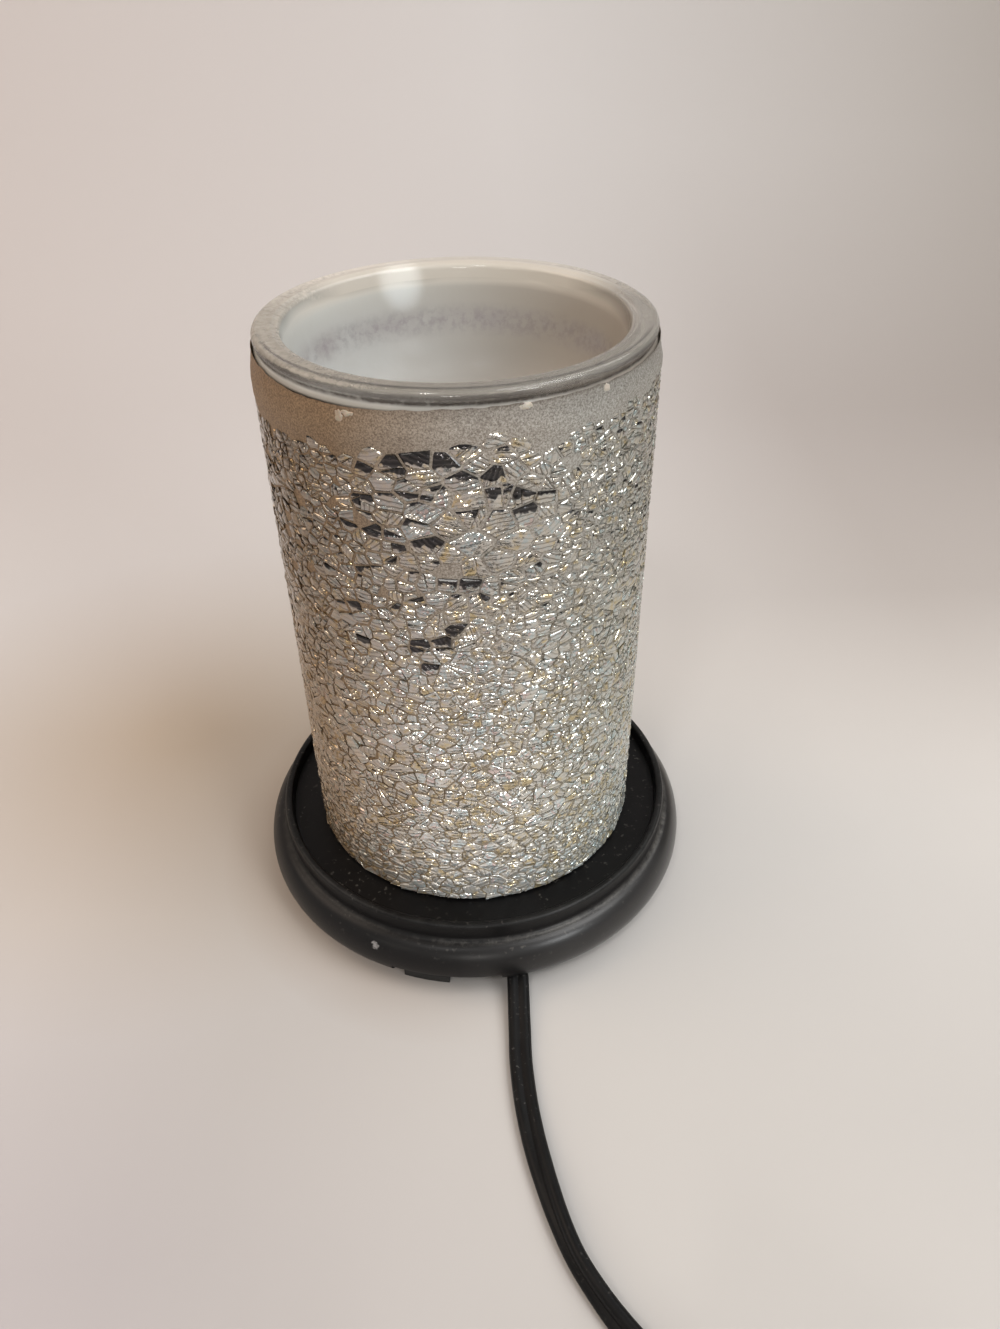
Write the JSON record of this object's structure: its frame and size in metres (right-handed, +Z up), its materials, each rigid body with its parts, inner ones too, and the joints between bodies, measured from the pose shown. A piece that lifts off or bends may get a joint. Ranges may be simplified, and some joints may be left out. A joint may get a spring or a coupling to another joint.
{
  "type": "electric wax warmer",
  "caption": "Electric wax warmer: a mirror mosaic glass cylinder on a round black base, with a lift-out glass dish over a twist-lock lamp, and a flat lead with an inline switch and plug.",
  "frame": {"origin": "on the table, at the middle of the round base, under the shade's axis", "axes": "+Z up along the shade's axis; -Y is the side that the lead leaves by"},
  "size_m": [0.1501, 0.3075, 0.156],
  "materials": {
    "black_plastic": "satin black moulding, scuffed at the edges",
    "foot_rubber": "matt",
    "mosaic": "mirror glass crumbs in silver-grey grout",
    "shade_glass": "clear, hazy",
    "dish_glass": "clear, hazy with wax film",
    "lamp_glass": "clear",
    "aluminium": "bright",
    "steel": "zinc plated",
    "ceramic": "glazed off-white ceramic",
    "brass": "bright",
    "wire_sleeve": "matt white",
    "cord_plastic": "satin black",
    "switch_plastic": "fine grained black",
    "switch_screw_steel": "blackened"
  },
  "bodies": {
    "base": {"base_housing": "black_plastic", "bottom_cover": "black_plastic", "foot_1": "foot_rubber", "foot_2": "foot_rubber", "foot_3": "foot_rubber", "foot_4": "foot_rubber", "mosaic_coat": "mosaic", "shade_glass": "shade_glass", "heat_shield": "aluminium", "lamp_bracket": "steel", "cord_clamp": "steel", "holder_nut_1": "steel", "holder_nut_2": "steel", "cover_screw_1": "steel", "cover_screw_2": "steel", "cover_screw_3": "steel", "bracket_screw_1": "steel", "bracket_screw_2": "steel", "holder_screw_1": "steel", "holder_screw_2": "steel", "clamp_screw_1": "steel", "clamp_screw_2": "steel", "lampholder": "ceramic", "lampholder_plate": "ceramic", "holder_contact_1": "brass", "holder_contact_2": "brass", "plug_blade_1": "brass", "plug_blade_2": "brass", "live_wire": "wire_sleeve", "neutral_wire": "wire_sleeve", "wire_cap_1": "wire_sleeve", "wire_cap_2": "wire_sleeve", "cord_lead": "cord_plastic", "cord_mid": "cord_plastic", "cord_coil": "cord_plastic", "cord_tail": "cord_plastic", "cord_core_1": "cord_plastic", "cord_core_2": "cord_plastic", "plug_body": "cord_plastic", "switch_case_bottom": "switch_plastic", "switch_case_top": "switch_plastic", "switch_screw_1": "switch_screw_steel", "switch_screw_2": "switch_screw_steel"},
    "dish": {"wax_dish": "dish_glass"},
    "lamp": {"lamp_reflector": "aluminium", "lamp_lens": "lamp_glass", "lamp_capsule": "lamp_glass", "lamp_pin_1": "brass", "lamp_pin_2": "brass"},
    "switch_wheel": {"switch_wheel": "switch_plastic"}
  },
  "joints": [
    {"name": "dish_lift", "type": "slide", "parent": "base", "child": "dish", "axis": [0, 0, 1], "range_m": [0, 0.06]},
    {"name": "lamp_twist", "type": "hinge", "parent": "base", "child": "lamp", "pos_m": [0, 0, 0.0583], "axis": [0, 0, 1], "range_deg": [0, 25]},
    {"name": "switch_wheel_turn", "type": "hinge", "parent": "base", "child": "switch_wheel", "pos_m": [0.0653, -0.1809, 0.008], "axis": [0, 0, 1], "continuous": true}
  ]
}
